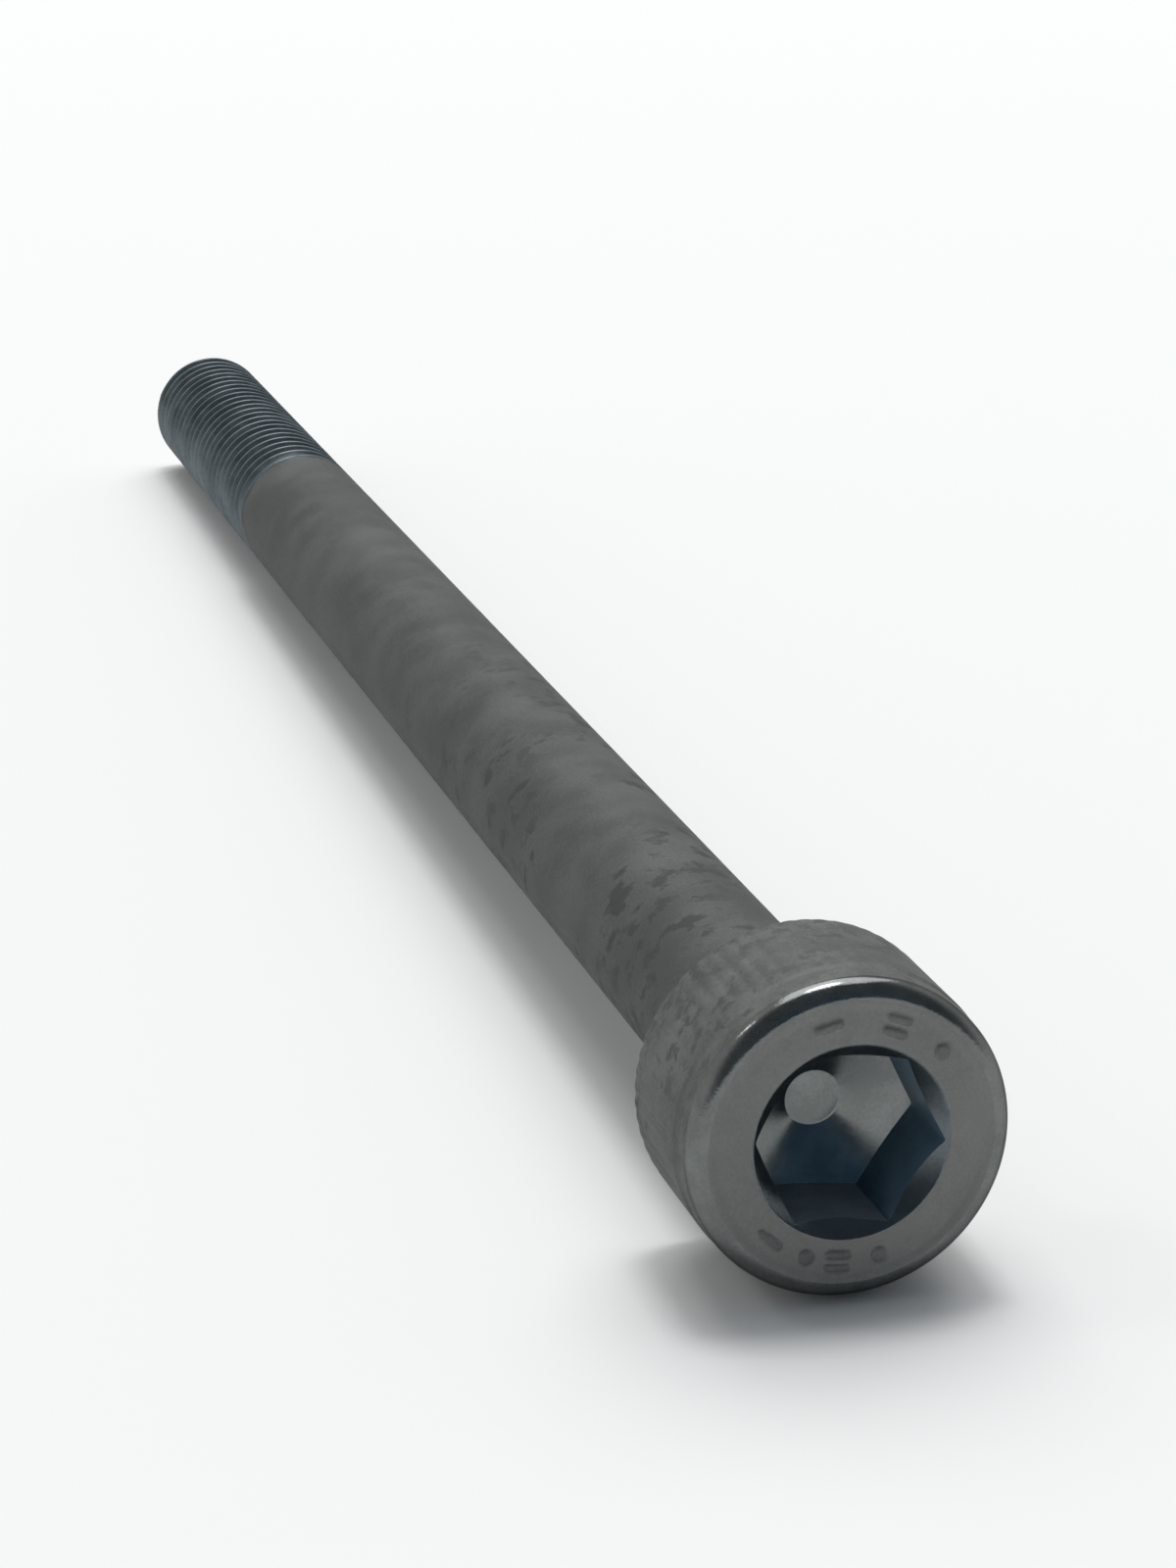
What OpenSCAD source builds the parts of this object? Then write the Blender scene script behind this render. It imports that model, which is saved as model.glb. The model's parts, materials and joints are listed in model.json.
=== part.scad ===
// Socket head bolt, M6 x 100, forged in one piece, lying on its side.
//
// The bolt rests on two places: the rear edge of its head, and the edge of
// its tip. Z = 0 is the surface it lies on, +Y runs from the head towards the
// tip, and the origin is on that surface under the middle of the bolt.
// The modules draw the bolt upright first, on its own axis: the bearing face
// under the head is at z = 0, the head below it, the shank above it.

/* [Head] */
// Diameter of the plain band behind the rounded front edge
head_d = 9.9; // [9.7:0.05:10.2]
// Height of the head, from the bearing face to the outer face
head_h = 5.8; // [5.2:0.1:7]
// Radius of the rounded front edge
front_edge_r = 0.57; // [0.3:0.01:0.8]
// Chamfer of the rear edge, round the bearing face
rear_chamfer = 0.3; // [0.15:0.01:0.5]
// Radius of the fillet between the bearing face and the shank
neck_fillet_r = 0.3; // [0.15:0.01:0.45]

/* [Knurl] */
// Number of straight ridges round the head
ridges = 60; // [36:2:72]
// Height of the ridges above the plain band
ridge_rise = 0.05; // [0.03:0.01:0.15]
// Depth of the grooves between the ridges
groove_depth = 0.12; // [0.06:0.01:0.2]
// Width of the land on top of each ridge
land_w = 0.12; // [0.06:0.01:0.18]
// Length of the plain band, from the outer face to the step up to the ridges
plain_band = 1.3; // [0.9:0.1:2.5]
// Length of full metal between that step and the grooves
groove_setback = 0.15; // [0.05:0.05:0.5]
// Length over which each groove sinks to its full depth
groove_runout = 0.35; // [0.2:0.05:0.5]

/* [Socket] */
// Width of the hexagon across its flats
socket_af = 5.07; // [4.8:0.01:5.14]
// Depth of the hexagon's corners, from the outer face
socket_depth = 3.1; // [2.4:0.1:3.6]
// Diameter of the countersink at the socket's mouth
mouth_d = 6.02; // [5.95:0.01:6.8]
// Slope of the countersink from the bolt's axis, in degrees
mouth_slope = 45; // [30:1:60]
// Slope of the socket's conical bottom against the outer face, in degrees
bottom_slope = 17; // [5:1:25]
// Diameter of the flat in the middle of that bottom
bottom_flat_d = 1.7; // [0.8:0.1:2.4]
// Turn of the hexagon about the bolt's axis, in degrees
socket_turn = 5.5; // [0:0.5:60]

/* [Shank] */
// Diameter of the plain shank
shank_d = 5.85; // [5.7:0.01:6]
// Length of the bolt under its head
under_head = 100; // [60:5:120]

/* [Thread end] */
// Outer diameter of the threaded end
thread_d = 5.85; // [5.6:0.01:6]
// Length of the threaded end
thread_len = 24; // [18:1:40]
// Depth of the ring where the thread runs out into the shank
runout_depth = 0.16; // [0.05:0.01:0.4]
// Length over which the shank slopes down to that ring
runout_len = 0.9; // [0.4:0.1:2]
// Diameter of the flat at the tip
tip_d = 4.5; // [4:0.1:5]

/* [Hidden] */
$fn = 96;

head_r = head_d / 2;
crest_r = head_r + ridge_rise;
root_r = crest_r - groove_depth;
shank_r = shank_d / 2;
thread_r = thread_d / 2;
tip_r = tip_d / 2;
tip_chamfer = thread_r - tip_r;
hexagon_r = socket_af / 2 / cos(30);

// Heights on the bolt's own axis
face_z = -head_h;
step_z = face_z + plain_band;
ridge_start_z = step_z + ridge_rise;
full_groove_z = ridge_start_z + groove_setback + groove_runout;
shoulder_z = under_head - thread_len;

// Angles taken up by one ridge and by half of the land on its top
ridge_pitch = 360 / ridges;
land_half = asin(land_w / 2 / crest_r);

// Radius at which the two flanks of a ridge would meet above its land
apex_r = crest_r + groove_depth * land_half / (ridge_pitch / 2 - land_half);

// The knurl stands on the two ridges beside its lowest groove
knurl_rest_r = crest_r * cos(ridge_pitch / 2 - land_half);

// Slope of the axis when the head's rear edge and the tip's edge touch the floor
tip_rest_z = under_head - tip_chamfer;
tilt = atan((knurl_rest_r - thread_r) / (tip_rest_z + rear_chamfer));
seat_height = knurl_rest_r * cos(tilt) - rear_chamfer * sin(tilt);

// Reach of the two ends along Y, from the middle of the bearing face
front_centre_r = head_r - front_edge_r;
face_reach = (head_h - front_edge_r) * cos(tilt) + front_centre_r * sin(tilt) + front_edge_r;
tip_reach = under_head * cos(tilt) + tip_r * sin(tilt);
seat_y = (face_reach - tip_reach) / 2;

// Extra length that carries a cut past a face
over = 1;

// Half section of the head, with its front edge rounded by a true arc
module head_section() {
    difference() {
        polygon([
            [0, face_z],
            [head_r, face_z],
            [head_r, step_z],
            [crest_r, ridge_start_z],
            [crest_r, -rear_chamfer],
            [crest_r - rear_chamfer, 0],
            [0, 0]
        ]);
        difference() {
            translate([head_r - front_edge_r, face_z]) square([front_edge_r + over, front_edge_r]);
            translate([head_r - front_edge_r, face_z + front_edge_r]) circle(r = front_edge_r);
        }
    }
}

// Half section of the shank, the threaded end and the chamfered tip
module shank_section() {
    polygon([
        [0, -over],
        [shank_r, -over],
        [shank_r, shoulder_z - runout_len],
        [thread_r - runout_depth, shoulder_z],
        [thread_r, shoulder_z + runout_depth],
        [thread_r, tip_rest_z],
        [tip_r, under_head],
        [0, under_head]
    ]);
}

// Half section of the fillet between the bearing face and the shank
module neck_fillet_section() {
    difference() {
        translate([shank_r - over, -over]) square([neck_fillet_r + over, neck_fillet_r + over]);
        translate([shank_r + neck_fillet_r, neck_fillet_r]) circle(r = neck_fillet_r);
    }
}

// The forged and turned blank, before the knurl and the socket
module blank() {
    rotate_extrude() union() {
        head_section();
        shank_section();
        neck_fillet_section();
    }
}

// Outline of the knurl across the axis, with a groove straight below the axis
module ridge_outline() {
    polygon([
        for (i = [0:ridges - 1])
            for (corner = [[0.5, apex_r], [1, root_r]])
                let (angle = 90 + (i + corner[0]) * ridge_pitch)
                corner[1] * [cos(angle), sin(angle)]
    ]);
}

// Waste between the ridges. A cone ends it, so each groove sinks in gradually.
module grooves() {
    intersection() {
        translate([0, 0, face_z]) linear_extrude(height = head_h + over) difference() {
            circle(r = crest_r + over / 2);
            ridge_outline();
        }
        rotate_extrude() polygon([
            [root_r - over, full_groove_z + over * groove_runout / groove_depth],
            [crest_r + over, full_groove_z - (groove_depth + over) * groove_runout / groove_depth],
            [crest_r + over, over],
            [root_r - over, over]
        ]);
    }
}

// Half section of the punched bottom, a shallow cone that ends in a flat
module punch_section() {
    corner_z = face_z + socket_depth;
    flat_r = bottom_flat_d / 2;
    flat_z = corner_z + (hexagon_r - flat_r) * tan(bottom_slope);
    polygon([
        [0, face_z - over],
        [hexagon_r + over, face_z - over],
        [hexagon_r + over, corner_z - over * tan(bottom_slope)],
        [flat_r, flat_z],
        [0, flat_z]
    ]);
}

// Hexagon socket with its countersunk mouth and its punched bottom
module socket() {
    mouth_r = mouth_d / 2;
    intersection() {
        rotate([0, 0, socket_turn])
            translate([0, 0, face_z - over])
                cylinder(r = hexagon_r, h = head_h + over, $fn = 6);
        rotate_extrude() punch_section();
    }
    translate([0, 0, face_z - over])
        cylinder(r1 = mouth_r + over * tan(mouth_slope), r2 = 0, h = over + mouth_r / tan(mouth_slope));
}

// The whole bolt on its own axis
module upright_bolt() {
    difference() {
        blank();
        grooves();
        socket();
    }
}

// The bolt as it lies
module bolt() {
    color([0.36, 0.37, 0.37])
        translate([0, seat_y, seat_height])
            rotate([-90 - tilt, 0, 0])
                upright_bolt();
}

bolt();
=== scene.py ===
import json
import logging
import math
from collections.abc import Sequence
from dataclasses import dataclass, field, replace
from enum import Enum, IntEnum

import bpy
from bpy.types import ID, Material, Mesh, Node, NodeSocket, NodeTree, Object
from mathutils import Matrix, Vector


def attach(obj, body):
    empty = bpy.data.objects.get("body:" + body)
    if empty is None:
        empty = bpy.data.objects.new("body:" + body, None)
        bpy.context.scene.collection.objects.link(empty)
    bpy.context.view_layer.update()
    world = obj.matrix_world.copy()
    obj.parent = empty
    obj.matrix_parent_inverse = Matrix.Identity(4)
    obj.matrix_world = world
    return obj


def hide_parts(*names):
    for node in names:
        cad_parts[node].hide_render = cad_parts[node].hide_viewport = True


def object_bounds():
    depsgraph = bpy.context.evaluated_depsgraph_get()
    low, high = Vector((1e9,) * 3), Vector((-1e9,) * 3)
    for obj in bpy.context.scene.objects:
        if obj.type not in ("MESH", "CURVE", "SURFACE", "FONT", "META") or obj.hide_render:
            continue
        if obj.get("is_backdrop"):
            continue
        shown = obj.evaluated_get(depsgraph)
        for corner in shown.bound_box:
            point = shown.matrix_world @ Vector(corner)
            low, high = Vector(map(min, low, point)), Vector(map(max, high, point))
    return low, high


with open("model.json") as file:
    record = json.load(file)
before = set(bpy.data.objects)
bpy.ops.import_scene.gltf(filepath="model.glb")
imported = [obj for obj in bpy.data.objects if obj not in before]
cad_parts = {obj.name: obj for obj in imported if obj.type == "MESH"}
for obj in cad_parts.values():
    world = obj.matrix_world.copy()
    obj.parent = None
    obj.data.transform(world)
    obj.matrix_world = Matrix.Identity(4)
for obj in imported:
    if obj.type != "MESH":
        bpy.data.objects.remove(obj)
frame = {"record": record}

MM = 0.001
PIECE = "forged_bolt"
NODE = "bolt"
BODY = "root"

# The row's +X, which lies level across the bolt
LEVEL = Vector((1, 0, 0))

# Angle round the bolt's axis that points at the floor, in degrees
FLOORWARDS = 90

# Half of the angle that a hexagon's side takes up, in degrees, and its width across flats over corners
HALF_SIDE = 30
FLATS_TO_CORNERS = math.cos(math.radians(HALF_SIDE))

# Indices of the points in a ring, and one measure for all of them or one for each
Ring = list[int]
Measure = float | list[float]

log = logging.getLogger("socket_head_bolt")


def linear(hex_colour: str) -> tuple[float, float, float, float]:
    """Turns an sRGB hex colour into the linear colour that the shaders take.

    Args:
        hex_colour: Six hex digits after a hash sign.

    Returns:
        Linear red, green and blue, and an alpha of 1.
    """
    channels = [int(hex_colour[i:i + 2], 16) / 255 for i in (1, 3, 5)]
    # These numbers are the sRGB standard's
    curve = [c / 12.92 if c <= 0.04045 else ((c + 0.055) / 1.055) ** 2.4 for c in channels]
    return (*curve, 1.0)


def smooth(low: float, high: float, value: float) -> float:
    """Rises smoothly from 0 at low to 1 at high."""
    share = min(max((value - low) / (high - low), 0.0), 1.0)
    return share * share * (3 - 2 * share)


def stops(low: float, high: float, count: int) -> list[float]:
    """Gives count evenly spaced values from low to high, both included."""
    return [low + (high - low) * i / (count - 1) for i in range(count)]


def even(count: int, start: float) -> list[float]:
    """Gives count evenly spaced angles round the axis."""
    return [start + 360 * i / count for i in range(count)]


def angle_off(degrees: float, place: float) -> float:
    """Gives the way round the axis from a place to an angle, from -180 to 180 degrees."""
    return (degrees - place + 180) % 360 - 180


def mount(name: str) -> dict:
    """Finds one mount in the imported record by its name."""
    return next(m for m in frame["record"]["mounts"] if m["name"] == name)


def face_centre() -> Vector:
    """Finds the middle of the bolt's outer face in the row frame, in metres."""
    return Vector(mount("socket")["pos_m"])


def add_object(name: str, data: ID) -> Object:
    """Adds an object to the scene.

    Args:
        name: Name of the object.
        data: Its mesh, lamp or camera.

    Returns:
        The new object.
    """
    thing = bpy.data.objects.new(name, data)
    bpy.context.scene.collection.objects.link(thing)
    return thing


class Zone(IntEnum):
    """Parts of the bolt's skin with their own materials, some carrying painted light, shade or reflection.
    Each is a material index.
    """

    HEAD = 0
    FACE = 1
    STAMPED = 2
    RIM = 3
    MOUTH = 4
    PUNCHED = 5
    WALL = 6
    LOW_WALL = 7
    SHANK = 8
    THREAD = 9


class Mark(Enum):
    """Plain raised marks on the outer face, which stand for no sign."""

    DASH = "dash"
    PAIR = "pair of dashes"
    DOT = "dot"


@dataclass(frozen=True)
class OwnAxis:
    """The bolt's own axis in the row frame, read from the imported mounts.

    On it, z is 0 at the bearing face and grows towards the tip. Angles start
    at the row's +X and turn towards the floor.
    """

    head_h: float

    @property
    def along(self) -> Vector:
        """Direction from the head towards the tip."""
        return Vector(mount("shank")["axis"]).normalized()

    @property
    def down(self) -> Vector:
        """Direction square to the axis that points at the floor."""
        return self.along.cross(LEVEL)

    def place(self, radius: float, degrees: float, z: float) -> Vector:
        """Places a point given in millimetres round the axis.

        Args:
            radius: Distance from the axis.
            degrees: Angle round the axis.
            z: Height along the axis from the bearing face.

        Returns:
            The point in the row frame, in metres.
        """
        turn = math.radians(degrees)
        across = LEVEL * math.cos(turn) + self.down * math.sin(turn)
        return face_centre() + (across * radius + self.along * (z + self.head_h)) * MM


@dataclass
class Skin:
    """One closed skin, built ring by ring from the socket's bottom to the tip."""

    axis: OwnAxis
    points: list[Vector] = field(default_factory=list)
    faces: list[tuple[int, ...]] = field(default_factory=list)
    zones: list[Zone] = field(default_factory=list)

    def point(self, radius: float, degrees: float, z: float) -> int:
        """Adds a point and returns its index."""
        self.points.append(self.axis.place(radius, degrees, z))
        return len(self.points) - 1

    def face(self, corners: tuple[int, ...], zone: Zone) -> None:
        """Adds one face with its zone."""
        self.faces.append(corners)
        self.zones.append(zone)

    def ring(self, radii: Measure, degrees: list[float], heights: Measure) -> Ring:
        """Adds a ring of points, one for each angle, and returns their indices."""
        spread = [v if isinstance(v, list) else [v] * len(degrees) for v in (radii, heights)]
        return [self.point(r, a, z) for r, a, z in zip(spread[0], degrees, spread[1])]

    def bridge(self, first: Ring, second: Ring, zone: Zone | list[Zone]) -> None:
        """Joins two rings of as many points with quads.

        Args:
            first: The first ring.
            second: The second ring.
            zone: Finish of all new faces, or of each.
        """
        count = len(first)
        zones = [zone] * count if isinstance(zone, Zone) else zone
        for i, own in enumerate(zones):
            j = (i + 1) % count
            self.face((first[i], first[j], second[j], second[i]), own)

    def grow(self, ring: Ring, radii: Measure, degrees: list[float], heights: Measure,
             zone: Zone | list[Zone]) -> Ring:
        """Adds a ring and joins it to the last one.

        Args:
            ring: The last ring, with as many points.
            radii: Distance from the axis.
            degrees: Angle of each point.
            heights: Height along the axis.
            zone: Finish of all new faces, or of each.

        Returns:
            The new ring.
        """
        following = self.ring(radii, degrees, heights)
        self.bridge(ring, following, zone)
        return following

    def thin_out(self, fine: Ring, coarse: Ring, zone: Zone) -> None:
        """Joins a fine ring to a coarse one that has a whole fraction of its points.

        Args:
            fine: The first ring.
            coarse: The second ring.
            zone: Finish of the new faces.
        """
        ratio = len(fine) // len(coarse)
        for k, corner in enumerate(coarse):
            start = k * ratio - ratio // 2
            for i in range(start, start + ratio):
                self.face((fine[i % len(fine)], fine[(i + 1) % len(fine)], corner), zone)
            last = fine[(start + ratio) % len(fine)]
            self.face((last, coarse[(k + 1) % len(coarse)], corner), zone)

    def close(self, ring: Ring, pole: int, zone: Zone, at_start: bool) -> None:
        """Closes the skin with a fan between a ring and a point on the axis.

        Args:
            ring: The ring.
            pole: The point.
            zone: Finish of the new faces.
            at_start: True at the skin's first ring, False at its last.
        """
        for i, corner in enumerate(ring):
            following = ring[(i + 1) % len(ring)]
            self.face((pole, following, corner) if at_start else (corner, following, pole), zone)

    def mesh(self, name: str, crease: float) -> Mesh:
        """Turns the skin into a smooth-shaded mesh with creases at its real edges.

        Args:
            name: Name of the mesh.
            crease: Least angle between two faces that stays sharp, in degrees.

        Returns:
            The finished mesh.
        """
        mesh = bpy.data.meshes.new(name)
        mesh.from_pydata(self.points, [], self.faces)
        mesh.polygons.foreach_set("material_index", [int(zone) for zone in self.zones])
        mesh.polygons.foreach_set("use_smooth", [True] * len(self.faces))
        mesh.set_sharp_from_angle(angle=math.radians(crease))
        mesh.validate()
        mesh.update()
        return mesh


@dataclass
class Knurl:
    """Straight ridges rolled into the head, worn soft. Sizes in millimetres."""

    ridges: int = 60
    rise: float = 0.05
    depth: float = 0.12
    # From the outer face to the step up to the ridges, along the step, and along the grooves' run-out
    start: float = 1.3
    step_length: float = 0.25
    runout: float = 0.7
    # Share of the run-out by which the grooves are already under way at its start
    lead: float = 0.05
    # Angles round the head, and the share of their depth that the grooves have kept there
    kept: tuple[tuple[float, float], ...] = (
        (0.0, 0.26), (90.0, 0.30), (150.0, 0.16), (208.0, 0.36), (250.0, 0.20), (292.0, 0.10),
    )
    # Most that chance takes off that share, and a number that scatters it from ridge to ridge
    uneven: float = 0.4
    scatter: float = 2.4
    # Places across one ridge as shares of the pitch, and the groove's depth there
    across: tuple[float, ...] = (-0.09, 0.09, 0.20, 0.33, 0.45, 0.55, 0.67, 0.80)
    sink: tuple[float, ...] = (0.0, 0.0, 0.22, 0.62, 0.94, 0.94, 0.62, 0.22)

    @property
    def columns(self) -> int:
        """Points in a ring round the head."""
        return self.ridges * len(self.across)

    @property
    def pitch(self) -> float:
        """Angle taken up by one ridge, in degrees."""
        return 360 / self.ridges

    @property
    def first(self) -> float:
        """Angle of the first ridge, with a groove straight below the axis."""
        return (FLOORWARDS + self.pitch / 2) % self.pitch

    def angles(self) -> list[float]:
        """Angles of a ring's points, so that every ridge gets its own edges."""
        ridges = [self.first + i * self.pitch for i in range(self.ridges)]
        return [ridge + share * self.pitch for ridge in ridges for share in self.across]

    def wear(self, column: int) -> float:
        """Tells how much of its depth a groove has kept, uneven from ridge to ridge.

        Args:
            column: Number of a column of points round the head.

        Returns:
            Share of the depth that is left.
        """
        ridge = column // len(self.across)
        angle = (self.first + ridge * self.pitch) % 360
        ahead = next((i for i, (place, _) in enumerate(self.kept) if place > angle), 0)
        (behind, low), (place, high) = self.kept[ahead - 1], self.kept[ahead]
        share = smooth(0, (place - behind) % 360, (angle - behind) % 360)
        chance = 0.5 + 0.5 * math.sin(ridge * ridge * self.scatter)
        return (low + (high - low) * share) * (1 - self.uneven + self.uneven * chance)

    def sunk(self, column: int, share: float) -> float:
        """Depth of the knurl's surface under its crest at one column."""
        return self.depth * self.sink[column % len(self.sink)] * self.wear(column) * share


@dataclass
class FaceMarks:
    """Plain raised dashes and dots on the outer face. Sizes in millimetres."""

    pitch_r: float = 3.72
    rise: float = 0.05
    dash_length: float = 0.9
    dash_width: float = 0.24
    dot_d: float = 0.46
    # Distance between the dashes of a pair, and their straight length against a single dash's
    pair_gap: float = 0.42
    pair_share: float = 0.8
    # Width of a mark's sloped edge, and of the slope along the face's outer border
    edge: float = 0.18
    border: float = 0.35
    # Share of the rise above which the face takes the marks' darker material, painted shade
    stamped_above: float = 0.4
    # Angle round the axis and kind of each mark
    places: tuple[tuple[float, Mark], ...] = (
        (258.0, Mark.DASH), (291.0, Mark.PAIR), (317.0, Mark.DOT),
        (132.0, Mark.DASH), (112.0, Mark.DOT), (96.5, Mark.PAIR), (76.5, Mark.DOT),
    )

    def strokes(self, kind: Mark) -> list[tuple[float, float, float]]:
        """Lists the strokes of a mark.

        Args:
            kind: Which mark it is.

        Returns:
            Offset outwards, half of the straight length and half of the width of each stroke.
        """
        half = self.dash_width / 2
        straight = self.dash_length / 2 - half
        if kind is Mark.DOT:
            return [(0.0, 0.0, self.dot_d / 2)]
        if kind is Mark.DASH:
            return [(0.0, straight, half)]
        return [(side * self.pair_gap / 2, straight * self.pair_share, half) for side in (-1, 1)]

    def height(self, radius: float, degrees: float) -> float:
        """Gives the rise of the face at one point, from soft-edged pads round each mark.

        Args:
            radius: Distance from the axis.
            degrees: Angle round the axis.

        Returns:
            The rise in millimetres.
        """
        top = 0.0
        for place, kind in self.places:
            turn = math.radians(angle_off(degrees, place))
            along = abs(radius * math.sin(turn))
            out = radius * math.cos(turn) - self.pitch_r
            for offset, straight, half in self.strokes(kind):
                gap = math.hypot(max(along - straight, 0.0), out - offset) - half
                top = max(top, 1 - smooth(-self.edge / 2, self.edge / 2, gap))
        return top * self.rise

    def floor(self, radius: float, outer_r: float) -> float:
        """Depth of the face between the marks, whose tops are level with its outer border."""
        return self.rise * smooth(0, self.border, outer_r - radius)


@dataclass
class Socket:
    """Punched hexagon with a countersunk mouth and a shallow conical bottom. Sizes in millimetres."""

    across_flats: float = 5.07
    depth: float = 3.1
    mouth_d: float = 6.02
    mouth_slope: float = 45.0
    bottom_slope: float = 17.0
    bottom_flat_d: float = 1.7
    turn: float = 5.5
    corner_r: float = 0.12
    edge_r: float = 0.04
    # Places of the rings, as shares of the way from the flat to the walls and of the way up them
    outwards: tuple[float, ...] = (0.3, 0.6, 0.9, 1.0)
    upwards: tuple[float, ...] = (0.02, 0.12, 0.3, 0.5, 0.7, 0.88, 0.97, 1.0)

    def bottom(self, radius: float) -> float:
        """Gives the depth of the bottom under the outer face.

        Args:
            radius: Distance from the axis.

        Returns:
            The depth in millimetres, the same all over the flat in the middle.
        """
        corner = self.across_flats / 2 / FLATS_TO_CORNERS
        slope = math.tan(math.radians(self.bottom_slope))
        return self.depth + (corner - max(radius, self.bottom_flat_d / 2)) * slope

    def radius(self, degrees: float) -> float:
        """Gives the distance from the axis to the hexagon's wall, with its corners filleted.

        Args:
            degrees: Angle round the axis.

        Returns:
            The distance in millimetres.
        """
        flat = self.across_flats / 2
        off_corner = math.radians(abs((degrees - self.turn + HALF_SIDE) % (2 * HALF_SIDE) - HALF_SIDE))
        centre = (flat - self.corner_r) / FLATS_TO_CORNERS
        reach = math.atan2(self.corner_r / 2, centre + self.corner_r * FLATS_TO_CORNERS)
        if off_corner < reach:
            side = centre * math.sin(off_corner)
            return centre * math.cos(off_corner) + math.sqrt(self.corner_r ** 2 - side ** 2)
        return flat / math.cos(math.radians(HALF_SIDE) - off_corner)

    def is_low(self, degrees: float) -> bool:
        """Tells whether an angle falls on the wall nearest to the floor."""
        return abs(angle_off(degrees - self.turn, FLOORWARDS)) < HALF_SIDE


@dataclass
class Thread:
    """Rolled metric thread, modelled as a true right-hand helix. Sizes in millimetres."""

    outer_d: float = 5.85
    pitch: float = 1.0
    length: float = 24.0
    runout: float = 1.9
    tip_d: float = 4.5
    # The metric profile in pitches: its depth, and the flank's start and end from the crest's middle
    depth_share: float = 0.6134
    crest_end: float = 1 / 16
    root_start: float = 3 / 8
    # Share of the depth that the straight flank takes, and the rounded root's length against the flank's
    flank_share: float = 0.88
    root_share: float = 0.4
    # Least distance in pitches between a row of the helix and a square end
    clear: float = 0.005
    # Places across one turn as shares of the pitch
    across: tuple[float, ...] = (
        0.0, 0.045, 0.075, 0.10, 0.16, 0.22, 0.28, 0.33, 0.37, 0.42,
        0.5, 0.58, 0.63, 0.67, 0.72, 0.78, 0.84, 0.90, 0.925, 0.955,
    )

    @property
    def depth(self) -> float:
        """Depth of the thread from crest to root."""
        return self.depth_share * self.pitch

    def sunk(self, phase: float) -> float:
        """Gives the depth under the crest at one place across a turn, with rounded crest and root.

        Args:
            phase: Share of a turn's pitch, 0 in the middle of the crest.

        Returns:
            The depth in millimetres.
        """
        off_crest = min(phase % 1, 1 - phase % 1)
        flank = (off_crest - self.crest_end) / (self.root_start - self.crest_end)
        if flank <= 0:
            return 0.0
        if flank <= 1:
            return self.depth * self.flank_share * flank
        bend = math.sin(math.pi / 2 * min((flank - 1) / self.root_share, 1))
        return self.depth * (self.flank_share + (1 - self.flank_share) * bend)


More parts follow.
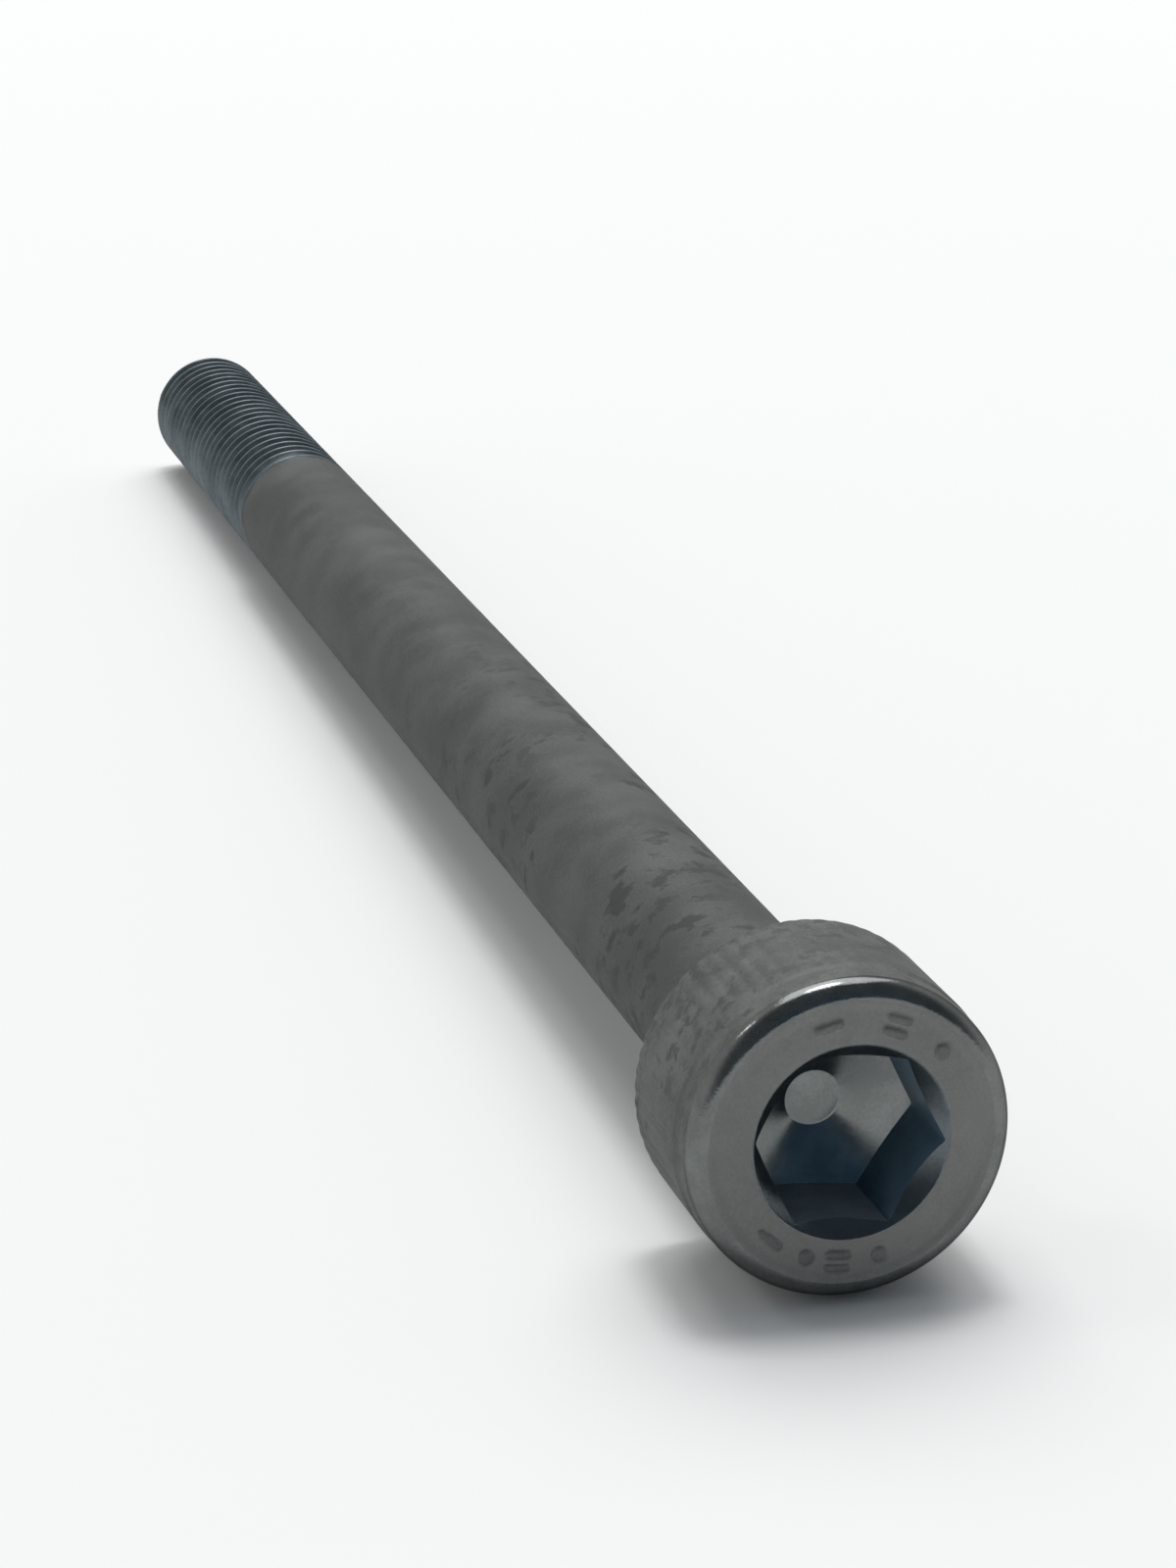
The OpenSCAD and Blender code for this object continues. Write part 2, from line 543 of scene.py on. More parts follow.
@dataclass
class Bolt:
    """The whole forged bolt, one closed skin. Sizes in millimetres."""

    head_d: float = 9.9
    head_h: float = 5.8
    front_edge_r: float = 0.57
    rear_chamfer: float = 0.3
    neck_fillet_r: float = 0.3
    shank_d: float = 5.85
    under_head: float = 100.0
    # Columns of points round the shank, and the rings that each stretch of the skin is divided by
    shank_columns: int = 96
    edge_rings: int = 15
    step_rings: int = 6
    runout_rings: int = 8
    knurl_rings: int = 9
    chamfer_rings: int = 7
    fillet_rings: int = 8
    shank_rings: int = 26
    # Distance between the rings of the face
    face_ring_step: float = 0.05
    # Rings on the plain band, by their distance behind the rounded edge
    band_offsets: tuple[float, ...] = (0.2, 0.45)
    # Place of the ring on the bearing face, as a share of the way out from the fillet
    bearing_share: float = 0.4
    # Least angle between two faces that shows as an edge, in degrees
    crease: float = 38.0
    knurl: Knurl = field(default_factory=Knurl)
    marks: FaceMarks = field(default_factory=FaceMarks)
    socket: Socket = field(default_factory=Socket)
    thread: Thread = field(default_factory=Thread)

    @property
    def face_z(self) -> float:
        """Height of the outer face, below the bearing face."""
        return -self.head_h

    @property
    def head_crest_r(self) -> float:
        """Radius of the head over the knurl's ridges."""
        return self.head_d / 2 + self.knurl.rise

    @property
    def thread_start(self) -> float:
        """Height at which the thread starts to run in."""
        return self.under_head - self.thread.length - self.thread.runout

    def shank_angles(self) -> list[float]:
        """Angles of the shank's columns, in step with the head's."""
        return even(self.shank_columns, self.knurl.angles()[0])

    def build_bottom(self, skin: Skin, angles: list[float], walls: list[float]) -> Ring:
        """Builds the socket's bottom, from the flat in its middle out to the walls.

        Args:
            skin: The skin to add to.
            angles: Angle of each column of points.
            walls: Distance from the axis to the wall at each column.

        Returns:
            The bottom's last ring.
        """
        socket = self.socket
        flat_r = socket.bottom_flat_d / 2
        soft = socket.edge_r
        pole = skin.point(0, 0, self.face_z + socket.bottom(0))
        ring = skin.ring(flat_r / 2, angles, self.face_z + socket.bottom(flat_r / 2))
        skin.close(ring, pole, Zone.PUNCHED, at_start=True)
        for r in (flat_r - soft, flat_r, flat_r + soft):
            ring = skin.grow(ring, r, angles, self.face_z + socket.bottom(r), Zone.PUNCHED)
        for share in socket.outwards:
            radii = [flat_r + soft + (wall - flat_r - soft) * share for wall in walls]
            heights = [self.face_z + socket.bottom(r) for r in radii]
            ring = skin.grow(ring, radii, angles, heights, Zone.PUNCHED)
        return ring

    def build_socket(self, skin: Skin) -> Ring:
        """Builds the bottom, the six walls and the countersink.

        Args:
            skin: The skin to add to.

        Returns:
            The ring round the mouth.
        """
        socket = self.socket
        angles = even(self.knurl.columns, socket.turn)
        walls = [socket.radius(a) for a in angles]
        ring = self.build_bottom(skin, angles, walls)
        slope = math.tan(math.radians(socket.mouth_slope))
        mouth_r = socket.mouth_d / 2
        level = self.face_z + self.marks.rise
        low = [self.face_z + socket.bottom(r) for r in walls]
        lip = [level + (mouth_r - r) / slope for r in walls]
        # The wall nearest the floor gets its own paler material, painted light; the others a blue cast that
        # is partly painted reflection
        zones = [Zone.LOW_WALL if socket.is_low(a) else Zone.WALL for a in angles]
        for share in socket.upwards:
            ring = skin.grow(ring, walls, angles, [a + (b - a) * share for a, b in zip(low, lip)], zones)
        soft = socket.edge_r
        # The countersink's material is darker and bluer, partly painted reflection
        for r, z in ((mouth_r - soft, soft / slope), (mouth_r, soft / 4), (mouth_r + soft, 0.0)):
            ring = skin.grow(ring, [max(r, wall) for wall in walls], angles, level + z, Zone.MOUTH)
        return ring

    def build_face(self, skin: Skin, ring: Ring) -> Ring:
        """Builds the outer face with its raised marks.

        Args:
            skin: The skin to add to.
            ring: The ring round the mouth.

        Returns:
            The ring at the face's outer border.
        """
        first_r = self.socket.mouth_d / 2 + self.socket.edge_r
        last_r = self.head_d / 2 - self.front_edge_r
        count = round((last_r - first_r) / self.face_ring_step)
        start = even(self.knurl.columns, self.socket.turn)
        end = self.knurl.angles()
        threshold = self.marks.rise * self.marks.stamped_above
        for i in range(1, count + 1):
            r = first_r + (last_r - first_r) * i / count
            angles = [a + (b - a) * i / count for a, b in zip(start, end)]
            rises = [self.marks.height(r, a) for a in angles]
            level = self.face_z + self.marks.floor(r, last_r)
            heights = [max(level - rise, self.face_z) for rise in rises]
            pairs = zip(rises, rises[1:] + rises[:1])
            # Faces on the raised marks get the darker material, painted shade
            zones = [Zone.STAMPED if max(pair) > threshold else Zone.FACE for pair in pairs]
            ring = skin.grow(ring, r, angles, heights, zones)
        return ring

    def head_stations(self) -> list[tuple[float, float, float, Zone]]:
        """Lists the head's rings behind the face.

        Returns:
            Crest radius, height, share of the knurl's depth and zone of each ring.
        """
        head_r = self.head_d / 2
        crest_r = self.head_crest_r
        arc_r = self.front_edge_r
        centre_z = self.face_z + arc_r
        rows = []
        for turn in stops(0, 90, self.edge_rings)[1:]:
            angle = math.radians(turn)
            r = head_r - arc_r + arc_r * math.sin(angle)
            rows.append((r, centre_z - arc_r * math.cos(angle), 0.0, Zone.RIM))
        rows += [(head_r, centre_z + offset, 0.0, Zone.HEAD) for offset in self.band_offsets]
        step = self.face_z + self.knurl.start
        for share in stops(0, 1, self.step_rings):
            r = head_r + self.knurl.rise * smooth(0, 1, share)
            rows.append((r, step + self.knurl.step_length * share, 0.0, Zone.HEAD))
        groove = step + self.knurl.step_length
        for share in stops(0, 1, self.runout_rings)[1:]:
            begun = smooth(-self.knurl.lead, 1.0, share)
            rows.append((crest_r, groove + self.knurl.runout * share, begun, Zone.HEAD))
        full = stops(groove + self.knurl.runout, -self.rear_chamfer, self.knurl_rings)
        rows += [(crest_r, z, 1.0, Zone.HEAD) for z in full[1:]]
        for share in stops(0, 1, self.chamfer_rings)[1:]:
            z = -self.rear_chamfer * (1 - share)
            rows.append((crest_r - self.rear_chamfer * share, z, 1.0, Zone.HEAD))
        return rows

    def build_head(self, skin: Skin, ring: Ring) -> Ring:
        """Builds the rounded edge, the plain band, the knurl and the rear chamfer.

        Args:
            skin: The skin to add to.
            ring: The ring at the face's outer border.

        Returns:
            The ring at the bearing face's outer border.
        """
        angles = self.knurl.angles()
        for limit, z, share, zone in self.head_stations():
            floors = [self.head_crest_r - self.knurl.sunk(column, share) for column in range(len(angles))]
            ring = skin.grow(ring, [min(limit, r) for r in floors], angles, z, zone)
        return ring

    def build_neck(self, skin: Skin, ring: Ring) -> Ring:
        """Builds the bearing face and the fillet, on fewer columns than the head.

        Args:
            skin: The skin to add to.
            ring: The ring at the bearing face's outer border.

        Returns:
            The shank's first ring.
        """
        outer = self.shank_d / 2 + self.neck_fillet_r
        wide = outer + (self.head_d / 2 - self.rear_chamfer - outer) * self.bearing_share
        inner = skin.grow(ring, wide, self.knurl.angles(), 0.0, Zone.HEAD)
        angles = self.shank_angles()
        ring = skin.ring(outer, angles, 0.0)
        skin.thin_out(inner, ring, Zone.HEAD)
        for turn in stops(0, 90, self.fillet_rings)[1:]:
            angle = math.radians(turn)
            r = outer - self.neck_fillet_r * math.sin(angle)
            z = self.neck_fillet_r * (1 - math.cos(angle))
            ring = skin.grow(ring, r, angles, z, Zone.HEAD)
        return ring

    def build_shank(self, skin: Skin, ring: Ring) -> Ring:
        """Builds the plain shank up to the place where the thread starts to run in.

        Args:
            skin: The skin to add to.
            ring: The shank's first ring.

        Returns:
            The shank's last ring.
        """
        angles = self.shank_angles()
        for z in stops(self.neck_fillet_r, self.thread_start, self.shank_rings)[1:]:
            ring = skin.grow(ring, self.shank_d / 2, angles, z, Zone.SHANK)
        return ring

    def thread_radius(self, z: float, phase: float) -> float:
        """Gives the radius of the threaded end, with its run-out and the chamfer at the tip.

        Args:
            z: Height along the axis.
            phase: Share of a turn's pitch, 0 in the middle of the crest.

        Returns:
            The radius in millimetres.
        """
        thread = self.thread
        shoulder = self.under_head - thread.length
        kept = smooth(self.thread_start, shoulder + thread.pitch / 2, z)
        chamfer = thread.tip_d / 2 + self.under_head - z
        return min(thread.outer_d / 2 - thread.sunk(phase) * kept, chamfer)

    def thread_rows(self, column: int) -> dict[int, float]:
        """Lists the helical rows that one column of the threaded end crosses.

        Args:
            column: Number of the column.

        Returns:
            Row number and height of each crossing, from low to high.
        """
        thread = self.thread
        low, high = self.thread_start, self.under_head
        per_turn = len(thread.across)
        lift = thread.pitch * column / self.shank_columns
        margin = thread.pitch * thread.clear
        turns = math.ceil((high - low) / thread.pitch)
        rows = {}
        for row in range(-per_turn, turns * per_turn + 1):
            turn, place = divmod(row, per_turn)
            z = low + (turn + thread.across[place]) * thread.pitch + lift
            if low + margin < z < high - margin:
                rows[row] = z
        return rows

    def build_thread(self, skin: Skin, ring: Ring) -> Ring:
        """Builds the threaded end as helical rows cut off square at both ends.

        Args:
            skin: The skin to add to.
            ring: The shank's last ring.

        Returns:
            The ring round the tip.
        """
        thread = self.thread
        angles = self.shank_angles()
        per_turn = len(thread.across)
        tip = skin.ring(thread.tip_d / 2, angles, self.under_head)
        columns = []
        for column, angle in enumerate(angles):
            rows = {}
            for row, z in self.thread_rows(column).items():
                radius = self.thread_radius(z, thread.across[row % per_turn])
                rows[row] = skin.point(radius, angle, z)
            columns.append(rows)
        columns.append({row - per_turn: index for row, index in columns[0].items()})
        for column in range(len(angles)):
            here, there = columns[column], columns[column + 1]
            following = (column + 1) % len(angles)
            shared = sorted(set(here) & set(there))
            self.join_end(skin, (ring[column], ring[following]), here, there, shared[0], below=True)
            for row in shared[:-1]:
                skin.face((here[row], there[row], there[row + 1], here[row + 1]), Zone.THREAD)
            self.join_end(skin, (tip[column], tip[following]), here, there, shared[-1], below=False)
        return tip

    def join_end(self, skin: Skin, ends: tuple[int, int], here: dict[int, int], there: dict[int, int],
                 row: int, below: bool) -> None:
        """Joins two columns of the thread to a square end, with the odd points between them.

        Args:
            skin: The skin to add to.
            ends: Points of the square end on the first and the second column.
            here: Points of the first column by row.
            there: Points of the second column by row.
            row: The last row that both columns have, next to the end.
            below: True at the thread's start, False at the tip.
        """
        rising = [there[r] for r in sorted(there) if (r < row if below else r > row)]
        falling = [here[r] for r in sorted(here, reverse=True) if (r < row if below else r > row)]
        if below:
            loop = [*ends, *rising, there[row], here[row], *falling]
        else:
            loop = [here[row], there[row], *rising, *reversed(ends), *falling]
        skin.face(tuple(loop), Zone.THREAD)

    def build_tip(self, skin: Skin, ring: Ring) -> None:
        """Closes the tip with a flat end.

        Args:
            skin: The skin to add to.
            ring: The ring round the tip.
        """
        inner = skin.grow(ring, self.thread.tip_d / 4, self.shank_angles(), self.under_head, Zone.THREAD)
        pole = skin.point(0, 0, self.under_head)
        skin.close(inner, pole, Zone.THREAD, at_start=False)

    def build(self, finishes: list[Material]) -> None:
        """Builds the bolt's object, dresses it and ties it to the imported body.

        Args:
            finishes: One material for each zone, in the zones' order.
        """
        skin = Skin(OwnAxis(self.head_h))
        ring = self.build_socket(skin)
        for build_stretch in (self.build_face, self.build_head, self.build_neck, self.build_shank,
                              self.build_thread):
            ring = build_stretch(skin, ring)
        self.build_tip(skin, ring)
        mesh = skin.mesh(PIECE, self.crease)
        for finish in finishes:
            mesh.materials.append(finish)
        bolt = add_object(PIECE, mesh)
        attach(bolt, BODY)
        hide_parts(NODE)
        triangles = sum(len(p.vertices) - 2 for p in mesh.polygons)
        log.info("%s: %d points, %d triangles", PIECE, len(mesh.vertices), triangles)


class Nodes:
    """A material's or world's node tree, filled one node at a time."""

    def __init__(self, tree: NodeTree) -> None:
        """Empties the tree."""
        self.tree = tree
        tree.nodes.clear()

    def add(self, kind: str, inputs: dict | None = None, **settings) -> Node:
        """Adds one node with its settings, and sets or links its inputs.

        Args:
            kind: Blender's name for the kind of node.
            inputs: Value or output socket for each input, by name or number.
            **settings: Properties of the node.

        Returns:
            The new node.
        """
        node = self.tree.nodes.new(kind)
        for name, value in settings.items():
            setattr(node, name, value)
        for key, value in (inputs or {}).items():
            self.feed(node.inputs[key], value)
        return node

    def feed(self, target: NodeSocket, value: NodeSocket | float | Sequence[float]) -> None:
        """Links an input to an output, or sets its value.

        Args:
            target: The input.
            value: The output or the value.
        """
        if isinstance(value, NodeSocket):
            self.tree.links.new(value, target)
        else:
            target.default_value = value

    def ramp(self, factor: NodeSocket, points: list[tuple[float, str]]) -> NodeSocket:
        """Maps a factor through colour stops given as sRGB hex.

        Args:
            factor: The socket that drives the ramp.
            points: Position and colour of each stop.

        Returns:
            The ramp's colour output.
        """
        node = self.add("ShaderNodeValToRGB", {"Fac": factor})
        elements = node.color_ramp.elements
        while len(elements) < len(points):
            elements.new(0.5)
        for element, (position, colour) in zip(elements, points):
            element.position = position
            element.color = linear(colour)
        return node.outputs["Color"]

    def level(self, value: NodeSocket, source: tuple[float, float],
              target: tuple[float, float]) -> NodeSocket:
        """Maps a value smoothly from one range to another, and clamps it."""
        inputs = dict(zip(("Value", "From Min", "From Max", "To Min", "To Max"), (value, *source, *target)))
        return self.add("ShaderNodeMapRange", inputs, interpolation_type="SMOOTHSTEP").outputs["Result"]

    def maths(self, operation: str, first: NodeSocket, second: NodeSocket | float) -> NodeSocket:
        """Combines two values."""
        return self.add("ShaderNodeMath", {0: first, 1: second}, operation=operation).outputs[0]

    def mix(self, factor: NodeSocket, first: NodeSocket | Sequence[float],
            second: NodeSocket | Sequence[float]) -> NodeSocket:
        """Mixes two colours.

        Args:
            factor: Share of the second colour.
            first: The first colour.
            second: The second colour.

        Returns:
            The mixed colour's output.
        """
        node = self.add("ShaderNodeMix", data_type="RGBA")
        inputs = (("Factor", "VALUE", factor), ("A", "RGBA", first), ("B", "RGBA", second))
        for name, kind, value in inputs:
            self.feed(next(s for s in node.inputs if s.name == name and s.type == kind), value)
        return next(s for s in node.outputs if s.type == "RGBA")


@dataclass(frozen=True)
class Noise:
    """One kind of noise: its width against the size asked for, its octaves and their strength."""

    spread: float
    detail: float
    rough: float

    def add(self, nodes: Nodes, where: NodeSocket, size_mm: float) -> NodeSocket:
        """Adds the noise to a tree, with features about spread times size_mm across."""
        inputs = {"Vector": where, "Scale": 1 / (size_mm * self.spread * MM), "Detail": self.detail,
                  "Roughness": self.rough}
        return nodes.add("ShaderNodeTexNoise", inputs).outputs["Fac"]


BLOTCHES = Noise(spread=1, detail=4, rough=0.6)
PATCHES = Noise(spread=4, detail=2, rough=0.5)
GRAIN = Noise(spread=1, detail=3, rough=0.65)
SCUFFS = Noise(spread=1, detail=3, rough=0.6)
DRIFTS = Noise(spread=6, detail=2, rough=0.5)


@dataclass(frozen=True)
class Oxide:
    """Black oxide on forged steel, with grain, blotches and scuffs of their real size in millimetres."""

    name: str
    # Dark, middle and light tone
    tones: tuple[str, str, str]
    # Colour of the scuffs, or None where there are none
    fleck: str | None
    # Roughness in the darkest and in the palest blotches
    roughness: tuple[float, float]
    metallic: float
    blotch_mm: float
    grain_mm: float
    grain_height_mm: float
    fleck_mm: float
    # Value of their noise above which scuffs show
    fleck_level: float
    # Distance from the outer face at which the scuffs have thinned out
    fleck_reach_mm: float
    # Tint of what the surface mirrors at a slant
    edge_tint: str
    # Shares of blotches, patches and grain in the shade, and the places of the three tones in it
    shade_mix: tuple[float, float, float] = (0.4, 0.3, 0.3)
    tone_places: tuple[float, float, float] = (0.43, 0.5, 0.58)
    # Range of the blotches' noise that the roughness follows
    blotch_range: tuple[float, float] = (0.3, 0.7)
    # Depth of a scuff against the grain's, and the width of its soft edge in its noise
    fleck_depth: float = 0.4
    fleck_edge: float = 0.12
    # Range of the drifts' noise in which scuffs set in, and the share of them left beyond their reach
    drift_range: tuple[float, float] = (0.40, 0.56)
    fleck_far: float = 0.15

    def material(self) -> Material:
        """Builds the material: blotches, grain, scuffs, roughness and relief.

        Returns:
            The finished material.
        """
        material = bpy.data.materials.new(self.name)
        material.use_nodes = True
        nodes = Nodes(material.node_tree)
        where = nodes.add("ShaderNodeTexCoord").outputs["Object"]
        blotches = BLOTCHES.add(nodes, where, self.blotch_mm)
        patches = PATCHES.add(nodes, where, self.blotch_mm)
        grain = GRAIN.add(nodes, where, self.grain_mm)
        weighed = zip((blotches, patches, grain), self.shade_mix)
        first, second, third = (nodes.maths("MULTIPLY", noise, share) for noise, share in weighed)
        shade = nodes.maths("ADD", nodes.maths("ADD", first, second), third)
        colour = nodes.ramp(shade, list(zip(self.tone_places, self.tones)))
        height = grain
        if self.fleck:
            flecks = self.flecks(nodes, where)
            colour = nodes.mix(flecks, colour, linear(self.fleck))
            height = nodes.maths("SUBTRACT", grain, nodes.maths("MULTIPLY", flecks, self.fleck_depth))
        bump = nodes.add("ShaderNodeBump", {"Distance": self.grain_height_mm * MM, "Height": height})
        shader = nodes.add("ShaderNodeBsdfPrincipled", {
            "Base Color": colour, "Roughness": nodes.level(blotches, self.blotch_range, self.roughness),
            "Metallic": self.metallic, "Specular Tint": linear(self.edge_tint),
            "Normal": bump.outputs["Normal"]})
        nodes.add("ShaderNodeOutputMaterial", {"Surface": shader.outputs["BSDF"]})
        return material

    def flecks(self, nodes: Nodes, where: NodeSocket) -> NodeSocket:
        """Adds small scuffs with soft, ragged edges, in drifts that thin out along the bolt.

        Args:
            nodes: The material's nodes.
            where: Output with the place on the object.

        Returns:
            Output with the strength of the scuffs, from 0 to 1.
        """
        drifts = DRIFTS.add(nodes, where, self.fleck_mm)
        scuffs = SCUFFS.add(nodes, where, self.fleck_mm)
        spots = nodes.level(scuffs, (self.fleck_level, self.fleck_level + self.fleck_edge), (0.0, 1.0))
        spots = nodes.maths("MULTIPLY", spots, nodes.level(drifts, self.drift_range, (0.0, 1.0)))
        along = nodes.add("ShaderNodeSeparateXYZ", {"Vector": where}).outputs["Y"]
        start = face_centre().y
        reach = self.fleck_reach_mm * MM
        thinned = nodes.level(along, (start + reach / 2, start + reach), (1.0, self.fleck_far))
        return nodes.maths("MULTIPLY", spots, thinned)


# Black oxide on a forging tumbled with others: dull, mid grey, softly blotched, with dark scuffs
HEAD_OXIDE = Oxide(
    name="forged_steel_black_oxide_tumbled", tones=("#606361", "#6A6D6B", "#737674"), fleck="#5B5D5C",
    roughness=(0.52, 0.64), metallic=0.5, blotch_mm=1.0, grain_mm=0.10, grain_height_mm=0.011,
    fleck_mm=0.6, fleck_level=0.52, fleck_reach_mm=60, edge_tint="#606060")

# The struck outer face: the same oxide, flatter and more even, with paler tones that are painted light,
# lifting a face that looks towards the dim side of the room
FACE_OXIDE_AND_PAINTED_LIGHT = replace(
    HEAD_OXIDE, name="forged_steel_black_oxide_struck_flat_painted_light", tones=("#7A7B79", "#80817F", "#868785"),
    fleck="#7D7E7B", metallic=0.65, roughness=(0.48, 0.58), grain_height_mm=0.004)

# Raised marks: the face's oxide with darker tones, painted shade that stands for the shading round the
# marks
STAMPED_PAINTED_SHADE = replace(
    FACE_OXIDE_AND_PAINTED_LIGHT, name="forged_steel_black_oxide_painted_shade", tones=("#686B69", "#717371", "#7A7C7A"),
    fleck="#6A6D6B")

# The rounded rim, rubbed to a soft gloss: it mirrors the room, dark above and pale below
RIM_OXIDE = replace(
    HEAD_OXIDE, name="forged_steel_black_oxide_burnished", tones=("#676A69", "#6E7170", "#767978"),
    fleck=None, roughness=(0.10, 0.18), metallic=0.85, grain_height_mm=0.005, edge_tint="#909090")

# The countersink: burnished like the rim, with darker blue-black tones, partly the oxide's own and partly
# painted reflection of the dim room
MOUTH_OXIDE_AND_REFLECTION = replace(
    RIM_OXIDE, name="forged_steel_black_oxide_countersunk_painted_reflection", tones=("#565D61", "#5E6569", "#666D71"))

# The socket's bottom: as glossy as the rim and smoother, under a film of oil, so that it mirrors the room
PUNCHED_OXIDE = replace(
    RIM_OXIDE, name="punched_steel_black_oxide_oiled", tones=("#6C706F", "#747877", "#7C807F"),
    metallic=0.9, grain_height_mm=0.001)

# The socket's walls: scraped by the punch, with a blue-black cast that is partly the oxide's own and partly
# painted reflection of a dark blue room
WALL_OXIDE_AND_REFLECTION = replace(
    PUNCHED_OXIDE, name="scraped_steel_black_oxide_and_painted_reflection", tones=("#60788A", "#678093", "#6E889C"),
    roughness=(0.30, 0.38), metallic=0.25, edge_tint="#A0A8B0")

# The lowest wall: duller than the others, with paler, greyer tones that are painted light, lifting a wall
# that little light reaches
LOW_WALL_PAINTED_LIGHT = replace(
    WALL_OXIDE_AND_REFLECTION, name="scraped_steel_black_oxide_painted_light", tones=("#9C9EA0", "#A6A8AA", "#B0B2B4"),
    roughness=(0.34, 0.44), metallic=0.1)

# The drawn shank: a shade darker than the head, with the clearest scuffs
SHANK_OXIDE = replace(
    HEAD_OXIDE, name="drawn_steel_black_oxide_tumbled", tones=("#585A59", "#606261", "#686A69"),
    fleck="#4E504F", blotch_mm=1.8, fleck_mm=0.9, fleck_level=0.50, edge_tint="#505050")

# Rolled thread under oil: bluer and smoother than the forging, so that its crests catch the light
THREAD_OXIDE = replace(
    HEAD_OXIDE, name="rolled_steel_black_oxide_oiled", tones=("#646C70", "#70787C", "#7C8488"),
    fleck="#5F676B", roughness=(0.38, 0.50), metallic=0.8, grain_height_mm=0.003, edge_tint="#707070")

# One material for each zone; those of the face, the marks, the countersink and the walls carry painted
# light, shade or reflection
FINISHES = {
    Zone.HEAD: HEAD_OXIDE, Zone.FACE: FACE_OXIDE_AND_PAINTED_LIGHT, Zone.STAMPED: STAMPED_PAINTED_SHADE, Zone.RIM: RIM_OXIDE,
    Zone.MOUTH: MOUTH_OXIDE_AND_REFLECTION, Zone.PUNCHED: PUNCHED_OXIDE, Zone.WALL: WALL_OXIDE_AND_REFLECTION,
    Zone.LOW_WALL: LOW_WALL_PAINTED_LIGHT, Zone.SHANK: SHANK_OXIDE, Zone.THREAD: THREAD_OXIDE,
}


@dataclass(frozen=True)
class Lamp:
    """One soft lamp: its direction from the bolt, its width and depth in metres, its power in watts."""

    name: str
    towards: tuple[float, float, float]
    size: tuple[float, float]
    power: float


@dataclass(frozen=True)
class Tint:
    """One patch of colour in the room: its direction, and the cosines where it sets in and is full."""

    colour: str
    towards: tuple[float, float, float]
    spread: tuple[float, float]


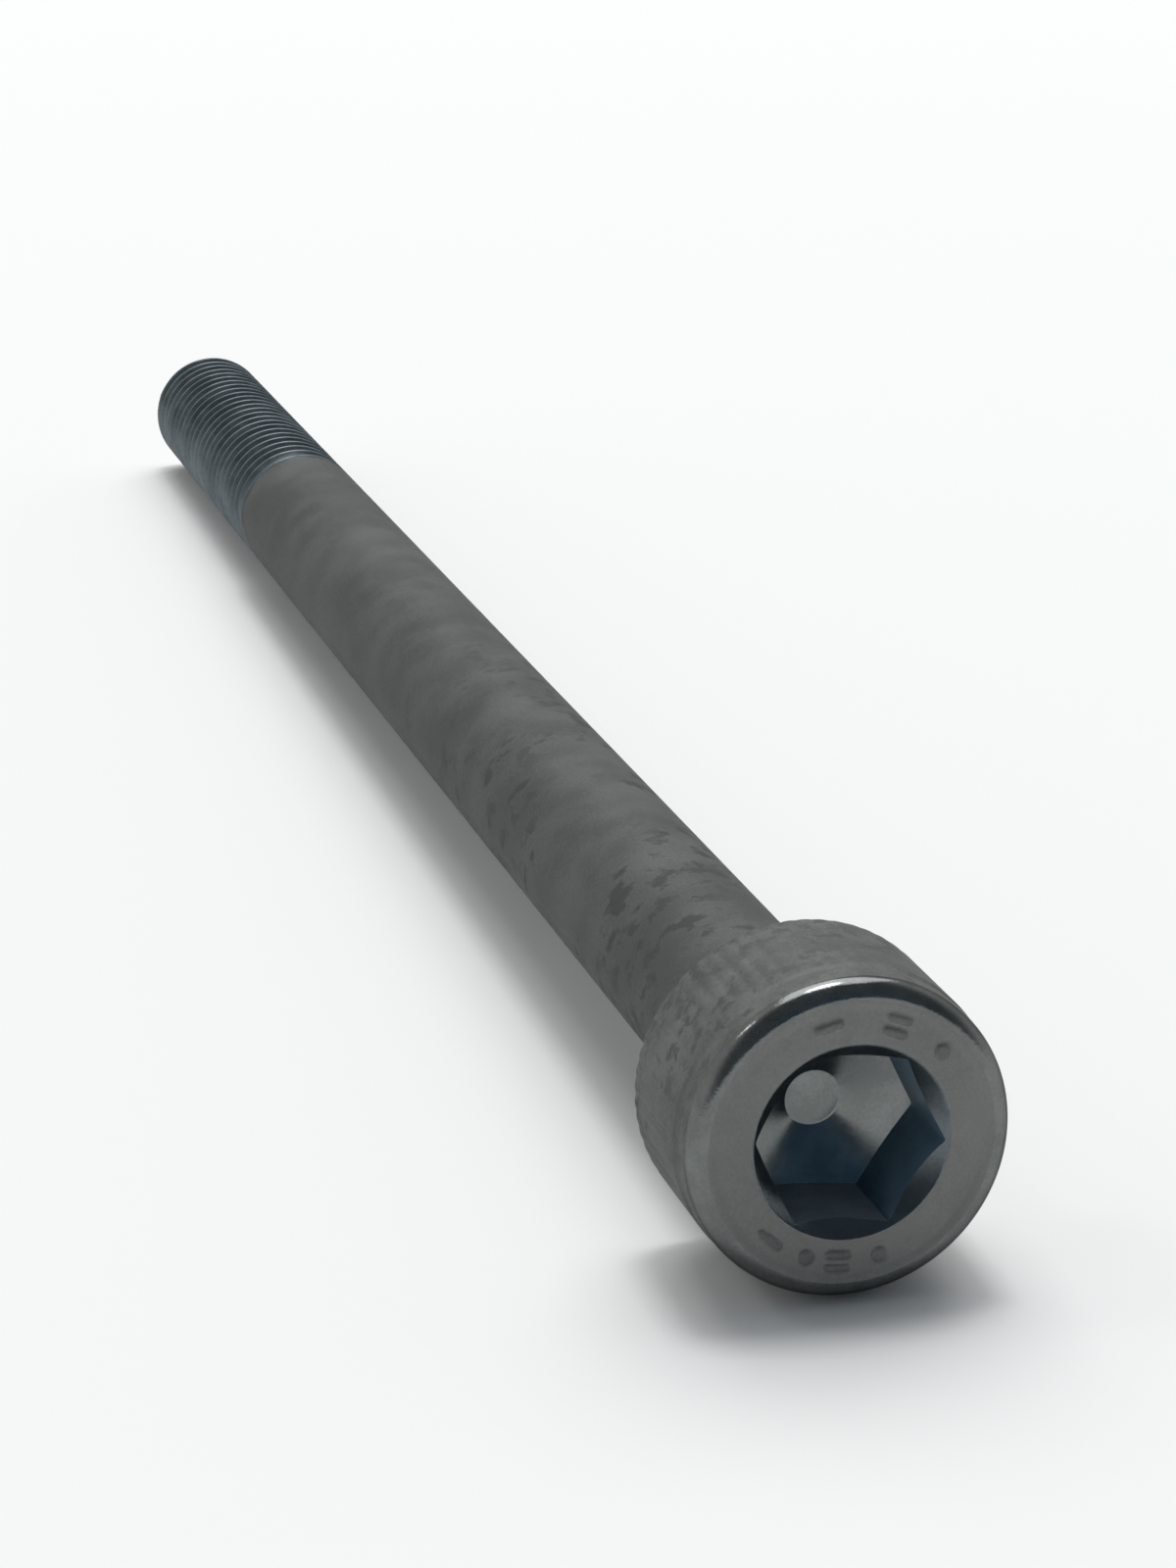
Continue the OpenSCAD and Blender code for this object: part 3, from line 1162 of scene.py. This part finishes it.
@dataclass
class Studio:
    """Pale floor, soft light from above and behind, and the photograph's camera. Sizes in metres."""

    floor_colour: str = "#F4F4F4"
    floor_size: float = 6.0
    # Pale walls all round, a dim side in front and overhead, and a blue patch in it
    room_pale: str = "#D8D8D5"
    room_tints: tuple[Tint, ...] = (
        Tint("#505A61", (0.10, -0.72, 0.68), (0.15, 0.70)),
        Tint("#405C73", (0.28, -0.96, 0.05), (0.92, 0.955)),
    )
    lamp_distance: float = 3.0
    lamps: tuple[Lamp, ...] = (
        Lamp("softbox", (0.15, 0.43, 0.89), (2.7, 2.7), 57.0),
        Lamp("skylight", (0.07, 0.22, 0.97), (0.7, 0.6), 21.0),
        Lamp("side_window", (-0.63, 0.27, 0.73), (0.4, 0.4), 3.2),
    )
    # The camera's heading from +Y and its slope towards the floor, in degrees
    camera_azimuth: float = 15.31
    camera_pitch: float = 18.59
    # The photograph's size, its focal length and the place of the outer face's centre, in its pixels
    image_px: tuple[int, int] = (1200, 1600)
    focal_px: float = 4077.7
    face_px: tuple[float, float] = (870.4, 1166.9)
    # Distance from the camera to that centre, along the camera's axis
    face_depth_mm: float = 115.62
    sensor_mm: float = 36.0
    near_clip: float = 0.01

    def build_floor(self, height: float) -> None:
        """Lays a pale floor under the bolt.

        Args:
            height: Height that the bolt rests on.
        """
        half = self.floor_size / 2
        outline = [(x * half, y * half, height) for x, y in ((-1, -1), (1, -1), (1, 1), (-1, 1))]
        mesh = bpy.data.meshes.new("floor")
        mesh.from_pydata(outline, [], [(0, 1, 2, 3)])
        floor = add_object("floor", mesh)
        material = bpy.data.materials.new("matte_paper")
        material.use_nodes = True
        nodes = Nodes(material.node_tree)
        shader = nodes.add("ShaderNodeBsdfDiffuse", {"Color": linear(self.floor_colour)})
        nodes.add("ShaderNodeOutputMaterial", {"Surface": shader.outputs["BSDF"]})
        mesh.materials.append(material)
        floor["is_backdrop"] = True

    def build_world(self) -> None:
        """Fills the room with soft light, from pale walls with tinted patches."""
        world = bpy.data.worlds.new("studio")
        world.use_nodes = True
        nodes = Nodes(world.node_tree)
        direction = nodes.add("ShaderNodeTexCoord").outputs["Generated"]
        colour = linear(self.room_pale)
        for tint in self.room_tints:
            middle = Vector(tint.towards).normalized()
            facing = nodes.add("ShaderNodeVectorMath", {0: direction, 1: middle}, operation="DOT_PRODUCT")
            share = nodes.level(facing.outputs["Value"], tint.spread, (0.0, 1.0))
            colour = nodes.mix(share, colour, linear(tint.colour))
        light = nodes.add("ShaderNodeBackground", {"Color": colour})
        nodes.add("ShaderNodeOutputWorld", {"Surface": light.outputs["Background"]})
        bpy.context.scene.world = world

    def build_lamps(self) -> None:
        """Hangs the lamps above the bolt, all at the same distance."""
        for lamp in self.lamps:
            data = bpy.data.lights.new(lamp.name, "AREA")
            data.shape = "RECTANGLE"
            data.size, data.size_y = lamp.size
            data.energy = lamp.power
            hung = add_object(lamp.name, data)
            direction = Vector(lamp.towards).normalized()
            hung.location = direction * self.lamp_distance
            hung.rotation_euler = direction.to_track_quat("Z", "Y").to_euler()

    def build_camera(self, target: Vector) -> None:
        """Sets the camera so that the outer face's centre falls on its place in the photograph.

        Args:
            target: The outer face's centre.
        """
        azimuth = math.radians(self.camera_azimuth)
        pitch = math.radians(self.camera_pitch)
        forward = Vector((math.cos(pitch) * math.sin(azimuth), math.cos(pitch) * math.cos(azimuth),
                          -math.sin(pitch)))
        right = Vector((math.cos(azimuth), -math.sin(azimuth), 0))
        down = forward.cross(right)
        depth = self.face_depth_mm * MM
        across, below = ((place - whole / 2) / self.focal_px * depth
                         for place, whole in zip(self.face_px, self.image_px))
        location = target - right * across - down * below - forward * depth
        data = bpy.data.cameras.new("camera")
        data.sensor_width = self.sensor_mm
        data.lens = self.focal_px * self.sensor_mm / max(self.image_px)
        data.clip_start = self.near_clip
        camera = add_object("camera", data)
        turn = Matrix((right, -down, -forward)).transposed().to_4x4()
        camera.matrix_world = Matrix.Translation(location) @ turn
        bpy.context.scene.camera = camera


def main() -> None:
    """Builds the bolt and its studio."""
    logging.basicConfig(level=logging.INFO, format="%(name)s: %(message)s")
    cad_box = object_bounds()
    Bolt().build([FINISHES[zone].material() for zone in Zone])
    studio = Studio()
    studio.build_floor(cad_box[0][2])
    studio.build_world()
    studio.build_lamps()
    studio.build_camera(face_centre())
    bpy.context.scene.view_settings.view_transform = "Standard"
    log.info("sizes written")


if __name__ == "__main__":
    main()
